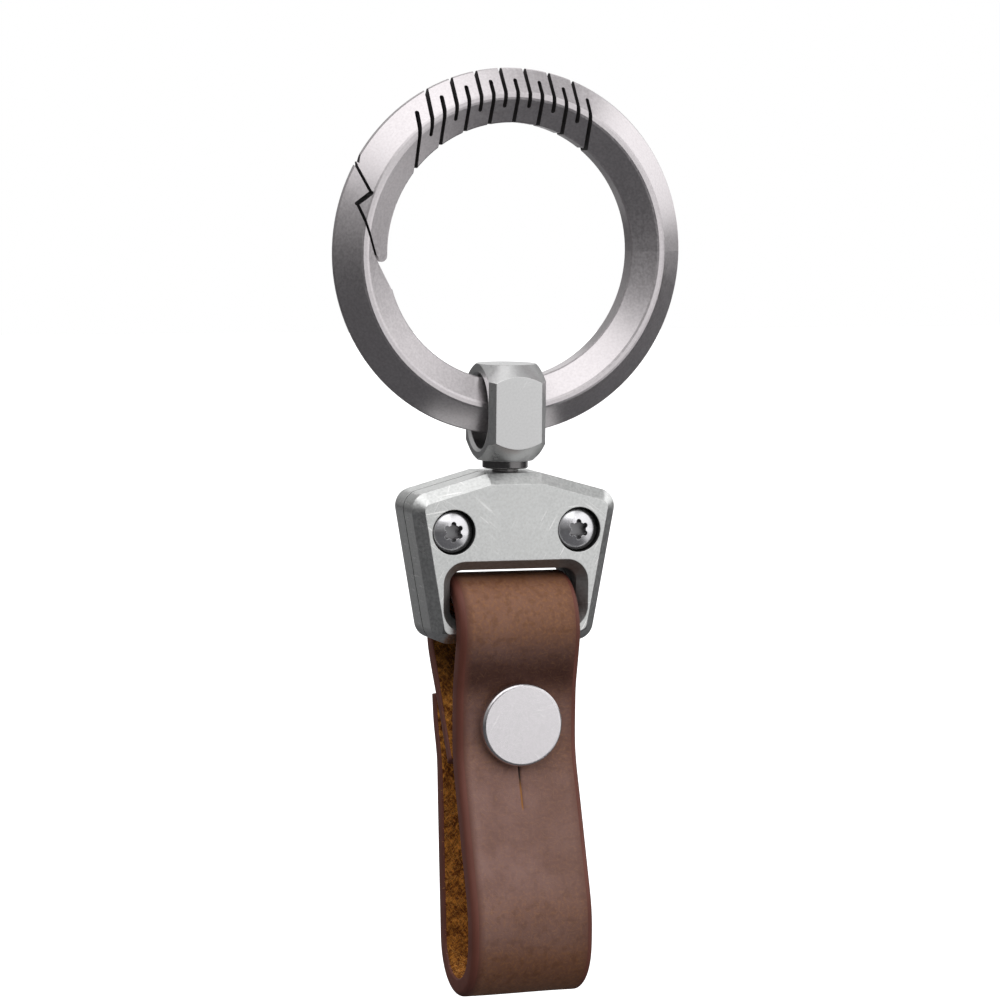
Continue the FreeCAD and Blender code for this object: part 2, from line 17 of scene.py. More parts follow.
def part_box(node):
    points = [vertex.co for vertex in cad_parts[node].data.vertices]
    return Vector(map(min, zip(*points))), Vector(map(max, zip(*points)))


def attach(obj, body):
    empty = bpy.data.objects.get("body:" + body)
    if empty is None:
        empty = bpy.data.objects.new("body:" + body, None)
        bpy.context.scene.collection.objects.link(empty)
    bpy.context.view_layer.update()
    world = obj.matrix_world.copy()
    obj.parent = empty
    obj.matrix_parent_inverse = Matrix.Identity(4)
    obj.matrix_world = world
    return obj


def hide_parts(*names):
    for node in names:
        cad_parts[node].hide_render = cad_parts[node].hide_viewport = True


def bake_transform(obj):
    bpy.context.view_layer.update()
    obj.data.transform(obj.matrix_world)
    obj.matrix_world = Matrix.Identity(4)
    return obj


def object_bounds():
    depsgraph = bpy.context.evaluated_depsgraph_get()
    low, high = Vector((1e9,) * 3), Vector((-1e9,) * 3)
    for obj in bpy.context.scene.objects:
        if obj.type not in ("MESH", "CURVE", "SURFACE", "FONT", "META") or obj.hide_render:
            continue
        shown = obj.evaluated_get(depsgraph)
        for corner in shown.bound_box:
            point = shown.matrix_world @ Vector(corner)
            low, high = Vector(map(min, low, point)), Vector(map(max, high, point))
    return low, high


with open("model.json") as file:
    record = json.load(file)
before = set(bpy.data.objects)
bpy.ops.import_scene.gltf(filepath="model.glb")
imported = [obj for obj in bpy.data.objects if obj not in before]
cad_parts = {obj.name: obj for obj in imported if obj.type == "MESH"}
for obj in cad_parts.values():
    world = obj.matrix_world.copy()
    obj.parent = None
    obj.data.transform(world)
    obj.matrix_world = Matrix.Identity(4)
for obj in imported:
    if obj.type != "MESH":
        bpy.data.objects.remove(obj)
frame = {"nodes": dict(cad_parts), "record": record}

cad_low, cad_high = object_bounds()
solids = frame["nodes"]
pivots = {joint["name"]: joint for joint in frame["record"]["behaviour"]["joints"]}
print("object", [round((b - a) * 1000, 1) for a, b in zip(cad_low, cad_high)], "mm")

# %% [markdown]
# ## The camera
# A small object is best seen with a long lens from a little way off, so that its ring stays
# round. The camera stands to the left of the front and slightly above, and the lens is worked out
# from the height that the picture has to cover: focal length = sensor x distance / height. A
# slight turn about the line of sight lets the opener hang a little out of plumb.
# %% Camera
aim = Vector((-0.0005, 0.0, -0.02485))
turn, rise = math.radians(-19.0), math.radians(5.5)
out_of_plumb = math.radians(0.6)
camera_distance = 0.45
picture_height = 0.1
sensor_mm = 36.0
towards = Vector((math.cos(rise) * math.sin(turn), -math.cos(rise) * math.cos(turn), math.sin(rise)))
camera = bpy.data.objects.new("camera", bpy.data.cameras.new("camera"))
bpy.context.collection.objects.link(camera)
camera.location = aim + towards * camera_distance
tilt = Quaternion(towards, out_of_plumb)
camera.rotation_euler = (tilt @ (-towards).to_track_quat("-Z", "Y")).to_euler()
camera.data.sensor_width = sensor_mm
camera.data.lens = sensor_mm * camera_distance / picture_height
camera.data.clip_start = 0.01
bpy.context.scene.camera = camera
print("lens", round(camera.data.lens), "mm")

# %% [markdown]
# ## Words for nodes
# Every finish below is a small network of shader nodes. Placing them by hand takes four lines
# each, so a few helpers do it: one places any node, one does arithmetic, and the others compare,
# join, stretch and mix. Colours are written as the screen shows them, 0 to 255, and turned into
# linear light.
# %% Node helpers
def screen(red, green, blue):
    """Linear colour of a screen colour: each channel goes back through the screen's curve."""
    channels = np.array([red, green, blue]) / 255.0
    linear = np.where(channels <= 0.04045, channels / 12.92, ((channels + 0.055) / 1.055) ** 2.4)
    return (*linear.tolist(), 1.0)


def place(tree, kind, values=None, **options):
    """One node: set its options, then give each input a socket to follow or a plain value."""
    made = tree.nodes.new(kind)
    for name, option in options.items():
        setattr(made, name, option)
    for name, value in (values or {}).items():
        if isinstance(value, bpy.types.NodeSocket):
            tree.links.new(value, made.inputs[name])
        else:
            made.inputs[name].default_value = value
    return made


def calc(tree, operation, first, second=0.0, clamp=False):
    """Arithmetic on two values."""
    made = place(tree, "ShaderNodeMath", {0: first, 1: second}, operation=operation, use_clamp=clamp)
    return made.outputs[0]


def above(tree, value, limit):
    """A mask: 1 where a value is greater than a limit, else 0."""
    return calc(tree, "GREATER_THAN", value, limit)


def below(tree, value, limit):
    """A mask: 1 where a value is less than a limit, else 0."""
    return calc(tree, "LESS_THAN", value, limit)


def times(tree, first, *others):
    """The product of several values. Of masks, it is where all of them hold."""
    for value in others:
        first = calc(tree, "MULTIPLY", first, value)
    return first


def most(tree, first, *others):
    """The greatest of several values. Of masks, it is where any of them holds."""
    for value in others:
        first = calc(tree, "MAXIMUM", first, value)
    return first


def mixed(tree, first, share, second):
    """Two patterns added: share x first + (1 - share) x second."""
    return calc(tree, "ADD", times(tree, first, share), times(tree, second, 1 - share))


def spread(tree, value, low, high, to_low=0.0, to_high=1.0):
    """Stretch the range low..high to to_low..to_high, with soft ends."""
    ends = {"Value": value, "From Min": low, "From Max": high, "To Min": to_low, "To Max": to_high}
    return place(tree, "ShaderNodeMapRange", ends, interpolation_type="SMOOTHSTEP").outputs[0]


def tint(tree, amount, first, second):
    """A colour between two, by an amount from 0 to 1."""
    return place(tree, "ShaderNodeMix", {0: amount, 6: first, 7: second}, data_type="RGBA").outputs[2]


def noise(tree, where, size, detail=3.0, rough=0.5):
    """Soft noise whose blobs are about `size` metres across: its scale is 0.5 / size."""
    scale = calc(tree, "DIVIDE", 0.5, size)
    values = {"Vector": where, "Scale": scale, "Detail": detail, "Roughness": rough}
    return place(tree, "ShaderNodeTexNoise", values).outputs[0]


def stretched(tree, where, turned, longer):
    """The same place on turned axes: a pattern read there is `longer` times as long along each."""
    values = {"Vector": where, "Rotation": turned, "Scale": longer}
    return place(tree, "ShaderNodeMapping", values, vector_type="TEXTURE").outputs[0]


# %% [markdown]
# A node group is a network that several finishes share. Its sockets are named once, and each
# material that places it gives its own values.
# %% Group and material helpers
def new_group(name, inputs, **outputs):
    """An empty group: inputs are name -> value, outputs are name = kind. Returns it and its ends."""
    tree = bpy.data.node_groups.new(name, "ShaderNodeTree")
    for socket, value in inputs.items():
        made = tree.interface.new_socket(socket, in_out="INPUT", socket_type="NodeSocketFloat")
        made.default_value = value
    for socket, kind in outputs.items():
        tree.interface.new_socket(socket, in_out="OUTPUT", socket_type="NodeSocket" + kind)
    taken = tree.nodes.new("NodeGroupInput").outputs
    given = tree.nodes.new("NodeGroupOutput").inputs
    return tree, taken, given


def use(tree, group, values=None):
    """Place a group in a material with its own values, and return its outputs."""
    made = tree.nodes.new("ShaderNodeGroup")
    made.node_tree = group
    for name, value in (values or {}).items():
        made.inputs[name].default_value = value
    return made.outputs


def new_material(name, rough=0.5):
    """A material, its tree and its Principled shader."""
    material = bpy.data.materials.new(name)
    material.use_nodes = True
    shader = material.node_tree.nodes["Principled BSDF"]
    shader.inputs["Roughness"].default_value = rough
    return material, material.node_tree, shader


def emboss(tree, shader, height, depth, **under):
    """Bend the shader's normal by a height pattern that is `depth` metres deep."""
    bump = place(tree, "ShaderNodeBump", {"Height": height, "Strength": 1.0, "Distance": depth, **under})
    tree.links.new(bump.outputs[0], shader.inputs["Normal"])


# %% [markdown]
# Every pattern on the metals reads object coordinates, which stay with a piece when it moves. The
# same goes for directions: the way a face looks is turned back into the object's own axes, so a
# wall inside a cut is told from a front face at every pose.
# %% Places and directions on a piece
def object_place(tree):
    """Where a point is on the unmoved object, in metres."""
    return tree.nodes.new("ShaderNodeTexCoord").outputs["Object"]


def parts_of(tree, vector):
    """The three numbers of a vector: sideways, from front to back, and up."""
    return tuple(place(tree, "ShaderNodeSeparateXYZ", {0: vector}).outputs)


def off_axis(tree, where, kept):
    """Distance from an axis: the length of a place of which only the kept coordinates count."""
    flat = place(tree, "ShaderNodeVectorMath", {0: where, 1: kept}, operation="MULTIPLY").outputs[0]
    return place(tree, "ShaderNodeVectorMath", {0: flat}, operation="LENGTH").outputs["Value"]


def front_facing(tree):
    """1 on a face that looks straight to the front or the back, and 0 on a wall at right angles."""
    world = place(tree, "ShaderNodeNewGeometry").outputs["True Normal"]
    own = place(tree, "ShaderNodeVectorTransform", {0: world}, convert_from="WORLD", convert_to="OBJECT")
    return calc(tree, "ABSOLUTE", parts_of(tree, own.outputs[0])[1])


# %% [markdown]
# ## Worn edges
# Tumbling and handling round every sharp edge of a metal part and leave it brighter than the
# faces. The Bevel node finds edges without any more geometry: it looks a short way round each
# point and averages the directions of the surface. Where that average differs from the real
# direction, there is an edge: edge = gain x (1 - average . direction).
# %% Group: worn edges
worn_edges, taken, given = new_group(
    "worn edges", {"Radius": 0.0001, "Gain": 3.0}, Edge="Float", Normal="Vector")
rounded = place(worn_edges, "ShaderNodeBevel", {"Radius": taken["Radius"]}, samples=6).outputs[0]
facing = place(worn_edges, "ShaderNodeNewGeometry").outputs["True Normal"]
agree = place(worn_edges, "ShaderNodeVectorMath", {0: rounded, 1: facing}, operation="DOT_PRODUCT")
differs = calc(worn_edges, "SUBTRACT", 1.0, agree.outputs["Value"])
edge = calc(worn_edges, "MULTIPLY", differs, taken["Gain"], clamp=True)
worn_edges.links.new(edge, given["Edge"])
worn_edges.links.new(rounded, given["Normal"])
print("worn edges:", len(worn_edges.nodes), "nodes")

# %% [markdown]
# ## Blasted grain
# Glass beads leave a surface of tiny dents that overlap. Two sizes of noise give the dents and
# the cloudy tone that blasting leaves, and their sum is also the height for a Bump node.
# %% Group: blasted grain
blasted, taken, given = new_group("blasted grain", {"Size": 0.00018}, Height="Float", Tone="Float")
here = object_place(blasted)
grains = noise(blasted, here, taken["Size"], 2.0)
clouds = noise(blasted, here, 0.0022)
height = mixed(blasted, grains, 0.8, clouds)
blasted.links.new(height, given["Height"])
blasted.links.new(spread(blasted, height, 0.3, 0.7), given["Tone"])
print("blasted grain:", len(blasted.nodes), "nodes")

# %% [markdown]
# ## Fine scratches
# Keys and coins leave hair scratches in every direction. Noise that is drawn out more than
# twenty times along one line turns into streaks, and only its highest parts are kept. Three such
# layers at different angles are thinned by soft patches, because real scratches come in groups.
# %% Group: fine scratches
scratches, taken, given = new_group("fine scratches", {"Width": 0.00007, "Cover": 0.5}, Mark="Float")
here = object_place(scratches)
marks = 0.0
for angle, patch_size in ((0.5, 0.0031), (-0.9, 0.0043), (1.4, 0.0037)):
    lines = stretched(scratches, here, (0.0, angle, 0.0), (1.0, 20.0, 24.0))
    streaks = spread(scratches, noise(scratches, lines, taken["Width"], 0.0), 0.70, 0.80)
    patches = spread(scratches, noise(scratches, here, patch_size), 0.50, 0.62)
    marks = most(scratches, marks, times(scratches, streaks, patches))
scratches.links.new(times(scratches, marks, taken["Cover"]), given["Mark"])
print("fine scratches:", len(scratches.nodes), "nodes")

# %% [markdown]
# ## Soot
# The ring's slots and the gate's cut are made by a beam or a wire that leaves their walls dark.
# Those walls can be told apart without marking them: they don't face the front or the back, they
# lie deeper than the bore and the rim, and they are above the gate's open tip, which stays clean.
# %% Group: soot in the cuts
soot, taken, given = new_group("soot in cuts", {"Inner": 0.01, "Outer": 0.02, "Lowest": 0.0}, Soot="Float")
here = object_place(soot)
walls = below(soot, front_facing(soot), 0.2)
radius = off_axis(soot, here, (1.0, 0.0, 1.0))
inside = times(soot, above(soot, radius, taken["Inner"]), below(soot, radius, taken["Outer"]))
high = above(soot, parts_of(soot, here)[2], taken["Lowest"])
soot.links.new(times(soot, walls, inside, high), given["Soot"])
print("soot in cuts:", len(soot.nodes), "nodes")

# %% [markdown]
# ## Painted shade and grime
# Dark colour is painted into three kinds of place. Deep round a screw is what lies within Reach of
# its axis, in the front plate and further back than Depth: the gap round its head, or the socket
# in it, both given painted shade. The seam of the two plates is what lies within Seam of the
# middle, a dark joint. The third is the strap's window above the bar: everything there that isn't
# flat to the front gets painted shade, as dark as Window says.
# %% Group: painted shade and grime in gaps
grime_and_shade_inputs = {"Reach": 0.002, "Depth": 0.0, "Seam": 0.0, "Window": 0.0}
grime_and_shade, taken, given = new_group("grime and painted shade", grime_and_shade_inputs, Grime="Float")
screw_low, screw_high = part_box("plate_screw_right")
screw_x, screw_z = (screw_low[0] + screw_high[0]) / 2, (screw_low[2] + screw_high[2]) / 2
sideways, back, up = parts_of(grime_and_shade, object_place(grime_and_shade))
off_x = calc(grime_and_shade, "SUBTRACT", calc(grime_and_shade, "ABSOLUTE", sideways), screw_x)
off_z = calc(grime_and_shade, "SUBTRACT", up, screw_z)
squares = calc(grime_and_shade, "ADD", times(grime_and_shade, off_x, off_x), times(grime_and_shade, off_z, off_z))
near_screw = below(grime_and_shade, calc(grime_and_shade, "SQRT", squares), taken["Reach"])
# Painted shade in the gap round each screw head and in its socket.
deep = times(grime_and_shade, near_screw, above(grime_and_shade, back, taken["Depth"]), below(grime_and_shade, back, 0.0))
seam = below(grime_and_shade, calc(grime_and_shade, "ABSOLUTE", back), taken["Seam"])

strap_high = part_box("leather_strap")[1]
beside_strap, over_strap = 0.0013, 0.00142
window_x, window_z = strap_high[0] + beside_strap, strap_high[2] + over_strap
within = below(grime_and_shade, calc(grime_and_shade, "ABSOLUTE", sideways), window_x)
within = times(grime_and_shade, within, below(grime_and_shade, up, window_z), above(grime_and_shade, up, pivots["strap_swing"]["pos_m"][2]))
# Painted shade on the walls of the strap's window.
window = times(grime_and_shade, within, below(grime_and_shade, front_facing(grime_and_shade), 0.95), taken["Window"])
grime_and_shade.links.new(most(grime_and_shade, deep, seam, window), given["Grime"])
print("screws at x", round(screw_x * 1000, 2), "z", round(screw_z * 1000, 2), "mm")

# %% [markdown]
# ## One recipe for the metals
# All metals here share a recipe: a base tone that grain moves a little, brighter worn edges, hair
# scratches that catch light, and a bump from the grain on top of the rounded edges. Only the
# values differ, so the recipe is a function that makes one material per finish.
# %% Metal recipe
rubbed_bright = screen(238, 237, 236)
dirt_and_shade_black = screen(22, 19, 18)
edge_light, rubbed_gloss, dirt_and_shade_dullness, hair_depth = 0.6, 0.1, 0.4, 0.3


def metal_finish(name, low, high, rough, grain, scratch, edge=None, dirt_and_shade=None):
    """Metal between two tones. rough = (least, most), grain = (size, bump), scratch = (width, cover),
    edge = (radius, gain), dirt = (group, its values, how dark)."""
    material, tree, shader = new_material(name)
    shader.inputs["Metallic"].default_value = 1.0
    skin = use(tree, blasted, {"Size": grain[0]})
    hair = use(tree, scratches, {"Width": scratch[0], "Cover": scratch[1]})
    bright, under = hair["Mark"], {}
    if edge:
        rim = use(tree, worn_edges, {"Radius": edge[0], "Gain": edge[1]})
        bright = calc(tree, "MAXIMUM", times(tree, rim["Edge"], edge_light), bright, clamp=True)
        under = {"Normal": rim["Normal"]}
    colour = tint(tree, bright, tint(tree, skin["Tone"], low, high), rubbed_bright)
    gloss = spread(tree, skin["Tone"], 0.0, 1.0, rough[0], rough[1])
    gloss = calc(tree, "SUBTRACT", gloss, times(tree, bright, rubbed_gloss), clamp=True)
    # Soot and grime darken the finish here. On the plates and the screws this also paints shade into gaps,
    # sockets and the strap's window.
    if dirt_and_shade:
        dark = times(tree, use(tree, dirt_and_shade[0], dirt_and_shade[1])[0], dirt_and_shade[2])
        colour = tint(tree, dark, colour, dirt_and_shade_black)
        gloss = calc(tree, "ADD", gloss, times(tree, dark, dirt_and_shade_dullness), clamp=True)
    tree.links.new(colour, shader.inputs["Base Color"])
    tree.links.new(gloss, shader.inputs["Roughness"])
    height = calc(tree, "SUBTRACT", skin["Height"], times(tree, hair["Mark"], hair_depth))
    emboss(tree, shader, height, grain[1], **under)
    print("finish", name)
    return material


# %% [markdown]
# Soot, grime and painted shade need to know how deep a cut goes. The ring's bore and rim are the
# least and the greatest distance of its points from its axis, and the depths at the screws start
# from the front of the plate and from the front of a screw.
# %% Where soot, grime and painted shade lie
ring_points = np.empty(len(solids["ring_frame"].data.vertices) * 3, dtype=np.float32)
solids["ring_frame"].data.vertices.foreach_get("co", ring_points)
ring_radii = np.hypot(ring_points[0::3], ring_points[2::3])
bore_r, rim_r = float(ring_radii.min()), float(ring_radii.max())
plate_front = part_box("front_plate")[0][1]
under_skin, tip_top = 0.00005, -0.0003
well_reach, socket_reach = 0.00228, 0.0011
cuts = (soot, {"Inner": bore_r + under_skin, "Outer": rim_r - under_skin, "Lowest": tip_top}, 0.80)
# The plates get painted shade round the screw heads and in the strap's window, and a dark seam; the screws
# get painted shade in their sockets.
gaps = (grime_and_shade, {"Reach": well_reach, "Depth": plate_front + 0.00008, "Seam": 0.0001, "Window": 0.6}, 0.9)
sockets = (grime_and_shade, {"Reach": socket_reach, "Depth": screw_low[1] + 0.00016}, 0.62)
print("bore", round(bore_r * 2000, 2), "rim", round(rim_r * 2000, 2), "mm across")

# %% [markdown]
# The ring is blasted and nearly even. The eye and the plates are satin with bright edges, and the
# plates carry the most scratches, because they rub on everything else in a pocket. The screws and
# the stud are polished steel and nickel.
# %% The seven metals
finishes = {
    "ring_blasted": metal_finish(
        "blasted titanium", screen(193, 188, 190), screen(209, 204, 206), rough=(0.30, 0.37),
        grain=(0.00012, 0.0000012), scratch=(0.00005, 0.1), dirt_and_shade=cuts),
    "eye_satin": metal_finish(
        "satin titanium", screen(194, 194, 194), screen(204, 204, 204), rough=(0.28, 0.34),
        grain=(0.00012, 0.000001), scratch=(0.00005, 0.25), edge=(0.00010, 2.0)),
    "plate_satin": metal_finish(
        "tumbled titanium", screen(192, 193, 192), screen(215, 216, 215), rough=(0.30, 0.38),
        grain=(0.00013, 0.0000015), scratch=(0.00006, 0.6), edge=(0.00010, 2.5), dirt_and_shade=gaps),
    # The pin's tone is far darker than bare steel: painted shade under the collar.
    "pin_steel": metal_finish(
        "turned steel", screen(104, 102, 102), screen(112, 110, 110), rough=(0.22, 0.26),
        grain=(0.0001, 0.0000002), scratch=(0.00005, 0.1)),
    # The washer's tone is far darker than bare bronze: painted shade under the collar.
    "washer_bronze": metal_finish(
        "bronze", screen(96, 80, 62), screen(112, 94, 74), rough=(0.35, 0.45),
        grain=(0.0001, 0.000001), scratch=(0.00006, 0.2)),
    "screw_steel": metal_finish(
        "polished screw", screen(218, 217, 220), screen(226, 225, 228), rough=(0.2, 0.26),
        grain=(0.0001, 0.0000003), scratch=(0.00005, 0.25), edge=(0.00004, 1.5), dirt_and_shade=sockets),
    "stud_nickel": metal_finish(
        "nickel of the stud", screen(207, 203, 206), screen(214, 211, 213), rough=(0.2, 0.25),
        grain=(0.0001, 0.0000003), scratch=(0.00005, 0.2), edge=(0.00006, 1.0)),
}

# %% [markdown]
# Each finish carries the name of a material slot in the record, and this table says which solid
# parts wear it.
# %% Put the finishes on the solid parts
worn_by = {
    "ring_blasted": ["ring_frame", "ring_gate"],
    "eye_satin": ["swivel_eye"],
    "plate_satin": ["front_plate", "rear_plate"],
    "pin_steel": ["swivel_pin"],
    "washer_bronze": ["thrust_washer"],
    "screw_steel": ["plate_screw_left", "plate_screw_right"],
    "stud_nickel": ["stud_cap", "stud_screw"],
}
for finish, nodes in worn_by.items():
    for name in nodes:
        for slot in solids[name].material_slots:
            slot.material = finishes[finish]
print("dressed", sum(len(nodes) for nodes in worn_by.values()), "solid parts")

# %% [markdown]
# ## The spring of the ring
# The stretch of the ring between its body and the gate is cut into a bellows, and it bends when
# the gate opens. A solid part can't bend, so a copy of its mesh takes its place. The solid's mesh
# is loose triangles: the copy's doubles are merged first, so that it stays in one piece. Its small
# faces are then marked flat, to keep the slots' rims crisp.
# %% Bending spring
spring = bpy.data.objects.new("ring_bellows", solids["ring_spring"].data.copy())
bpy.context.collection.objects.link(spring)
shell = bmesh.new()
shell.from_mesh(spring.data)
bmesh.ops.remove_doubles(shell, verts=shell.verts, dist=1e-6)
shell.to_mesh(spring.data)
shell.free()
spring.data.polygons.foreach_set("use_smooth", np.zeros(len(spring.data.polygons), dtype=bool))
spring.data.materials.clear()
spring.data.materials.append(finishes["ring_blasted"])
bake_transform(spring)
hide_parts("ring_spring")
print("bellows", len(spring.data.polygons), "faces")

# %% [markdown]
# ## The strap's line
# The strap is one strip of thick leather. It starts behind the front layer, goes up over the bar,
# down the front, round a loop and up again at the back, where a stud pins its layers together.
# Seen from the side it is a line of straight runs and bends. The line is found by rounding the
# corners of a polygon: on each side of a corner the bend starts at radius / tan(half the angle).
# Leather doesn't go from straight to round at once, so the line is eased by a short running
# average.
# %% Corners of the strap's middle line, as (y, z) from the bar's axis in millimetres
bar = np.array(pivots["strap_swing"]["pos_m"])
corners = np.array([(-1.90, -13.10), (9.00, 4.81), (-5.94, 4.81), (-3.74, -5.53), (-3.74, -12.10),
                    (-9.34, -27.49), (-9.34, -35.30), (-0.68, -35.30), (1.35, -14.00), (2.75, -6.80)]) / 1000
bend_radii = np.array([0.0, 5.05, 4.81, 6.0, 12.0, 10.0, 4.55, 4.55, 25.0, 0.0]) / 1000
strap_width = 0.0126
strap_thick = 0.0018
station_step = 0.00026


def eased(points, half_window=6, softness=2.5):
    """A running average along a line, point k away weighing exp(-(k / softness)^2 / 2)."""
    weights = np.exp(-0.5 * (np.arange(-half_window, half_window + 1) / softness) ** 2)
    weights /= weights.sum()
    longer = np.pad(points, ((half_window, half_window), (0, 0)), mode="reflect", reflect_type="odd")
    return np.column_stack([np.convolve(column, weights, "valid") for column in longer.T])


def rounded_line(corners, radii, step):
    """Even points along a polygon with rounded corners, as (points, directions, way travelled).

    Each corner is replaced by a circle's arc that touches both runs. A point on the arc is its
    centre plus the radius turned from the first touching point to the second."""
    chain = [corners[0]]
    for before, corner, after, radius in zip(corners, corners[1:], corners[2:], radii[1:]):
        back = (before - corner) / np.linalg.norm(before - corner)
        ahead = (after - corner) / np.linalg.norm(after - corner)
        half = math.acos(np.clip(back @ ahead, -1, 1)) / 2
        middle = (back + ahead) / np.linalg.norm(back + ahead)
        centre = corner + middle * radius / math.sin(half)
        first = corner + back * radius / math.tan(half) - centre
        second = corner + ahead * radius / math.tan(half) - centre
        share = np.linspace(0, 1, 40)[:, None]
        sweep = math.pi - 2 * half
        arc = (np.sin((1 - share) * sweep) * first + np.sin(share * sweep) * second) / math.sin(sweep)
        chain.extend(centre + arc)
    chain.append(corners[-1])
    chain = np.array(chain)
    along = np.concatenate([[0], np.cumsum(np.linalg.norm(np.diff(chain, axis=0), axis=1))])
    even = np.linspace(0, along[-1], round(along[-1] / step))
    points = eased(np.column_stack([np.interp(even, along, chain[:, k]) for k in (0, 1)]))
    slopes = np.gradient(points, axis=0)
    return points, slopes / np.linalg.norm(slopes, axis=1)[:, None], even


line, heading, travel = rounded_line(corners, bend_radii, station_step)
print("strap", round(travel[-1] * 1000, 1), "mm long,", len(line), "stations")

# %% [markdown]
# ## The strap's section
# Thick leather is cut square, then its edges are worked. On the grain side the corners are
# bevelled and burnished well round, and on the flesh side they stay nearly sharp. The points of
# the section stand closer together near the middle, where a small slit runs down from the stud.
# Going round, they follow the grain side, one edge, the flesh side and the other edge.
# %% Section of the strap
grain_bevel = 0.0006
flesh_corner = 0.0002


def side_marks(half, corner, count):
    """Marks across a side, closer together near the middle: x = (half - corner) x (t + t^3) / 2."""
    even = np.linspace(-1, 1, count)
    return (half - corner) * (0.5 * even + 0.5 * even ** 3)


def strap_section(width, thick, bevel, corner, count=61, bend=8):
    """(across, out, face) round the section, with a quarter circle at each corner: its points are
    centre + radius x (sin a, cos a) on the grain side and centre + radius x (cos a, -sin a) below.

    face is 0 on the grain side, 1 on an edge and 2 on the flesh side."""
    flat, side = thick / 2, width / 2
    angles = np.linspace(0, math.pi / 2, bend)
    grain_x, grain_y = side - bevel + bevel * np.sin(angles), flat - bevel + bevel * np.cos(angles)
    flesh_x, flesh_y = side - corner + corner * np.cos(angles), -flat + corner - corner * np.sin(angles)
    top, bottom = side_marks(side, bevel, count)[1:-1], side_marks(side, corner, count)[1:-1]
    x = [top, grain_x, flesh_x, bottom[::-1], -flesh_x[::-1], -grain_x[::-1]]
    y = [np.full(top.size, flat), grain_y, flesh_y, np.full(bottom.size, -flat), flesh_y[::-1], grain_y[::-1]]
    face = [np.full(len(part), kind) for part, kind in zip(x, (0, 1, 1, 2, 1, 1))]
    return np.concatenate(x), np.concatenate(y), np.concatenate(face)


across, outward, face_kind = strap_section(strap_width, strap_thick, grain_bevel, flesh_corner)
print("section", len(across), "points")

# %% [markdown]
# ## What makes it leather
# A strip of even thickness would look like a bent plate. Four small things set leather apart. The
# two ends are pared thin, the sides wave a little, the end at the back curls at its edges, and
# the front has a short slit below the stud. Each is worked out along the strap's length first.
# %% Paring, wave, curl and slit
def smooth_step(value, low, high):
    """0 below low, 1 above high, and between them share^2 x (3 - 2 x share)."""
    share = np.clip((value - low) / (high - low), 0, 1)
    return share * share * (3 - 2 * share)


def bump_at(value, centre, reach):
    """A soft hill of height 1: exp(-(distance / reach)^2)."""
    return np.exp(-((value - centre) / reach) ** 2)


level = line[:, 1]
strap_end = travel[-1]
pared = 0.68 + 0.32 * smooth_step(np.minimum(travel, strap_end - travel), 0.004, 0.011)
wave = 0.00008 * np.sin(travel / 0.0041 + 1.0) + 0.00005 * np.sin(travel / 0.0023)
curl = 0.0006 * smooth_step(travel, strap_end - 0.007, strap_end - 0.002)

slit_top, slit_end, slit_dip = -0.0130, -0.0179, 0.0002
on_front = smooth_step(travel, 0.030, 0.033) * (1 - smooth_step(travel, 0.062, 0.066))
below_cap = on_front * smooth_step(level, slit_end, slit_end + 0.0005) * (level < slit_top + 0.002)
slit = bump_at(across, 0.0, 0.00012)[None, :] * (face_kind == 0)[None, :] * below_cap[:, None]
print("ends pared to", round(strap_thick * pared[0] * 1000, 2), "mm")

# %% [markdown]
# ## The strap as a surface
# Now the section rides along the line: point(s, t) = line(s) + offset(s, t) x normal(s), with the
# width along X. The offset is the section's own height, pared, with the wave, the curl and the
# slit added. With t from -1 to 1 across the strap,
# offset = height x pared + wave x t x (1 - 0.6 x t^2) + curl x t^2 - dip x slit.
# %% Strap surface
def strap_surface(offset):
    """Points of the strap in metres: line + offset x normal, from the bar's axis."""
    normal = np.column_stack([heading[:, 1], -heading[:, 0]])
    x = np.broadcast_to(across[None, :], offset.shape)
    y = line[:, 0][:, None] + offset * normal[:, 0][:, None]
    z = line[:, 1][:, None] + offset * normal[:, 1][:, None]
    return np.stack([x, y, z], axis=-1) + bar


t = (across / (strap_width / 2))[None, :]
offset = outward[None, :] * pared[:, None] + wave[:, None] * t * (1 - 0.6 * t ** 2)
offset = offset + curl[:, None] * t ** 2 - slit_dip * slit
grid = strap_surface(offset)
print("strap box", (grid.reshape(-1, 3).min(0) * 1000).round(2), (grid.reshape(-1, 3).max(0) * 1000).round(2))

# %% [markdown]
# The grid is a tube, and a closed shape needs its two cut ends too. Each end is one face with all
# the points of its section, as flat as a knife leaves it. Blender can then tell the inside from
# the outside and turn every face outwards.
# %% Strap mesh
def tube_faces(stations, around):
    """Quads between neighbouring sections, and which spot of the section each one starts at."""
    row, spot = np.meshgrid(np.arange(stations - 1), np.arange(around), indexing="ij")
    ahead = (spot + 1) % around
    here, beyond = row * around, (row + 1) * around
    quads = np.stack([here + spot, here + ahead, beyond + ahead, beyond + spot], -1)
    return quads.reshape(-1, 4), spot.ravel()


def mesh_of(name, points, faces):
    """A mesh object from points and faces."""
    mesh = bpy.data.meshes.new(name)
    mesh.from_pydata(points.tolist(), [], [list(face) for face in faces])
    made = bpy.data.objects.new(name, mesh)
    bpy.context.collection.objects.link(made)
    return made


def turn_outwards(made):
    """Turn the faces of closed shells outwards, and return their volume in cubic metres."""
    shell = bmesh.new()
    shell.from_mesh(made.data)
    bmesh.ops.recalc_face_normals(shell, faces=shell.faces)
    volume = shell.calc_volume()
    shell.to_mesh(made.data)
    shell.free()
    return volume


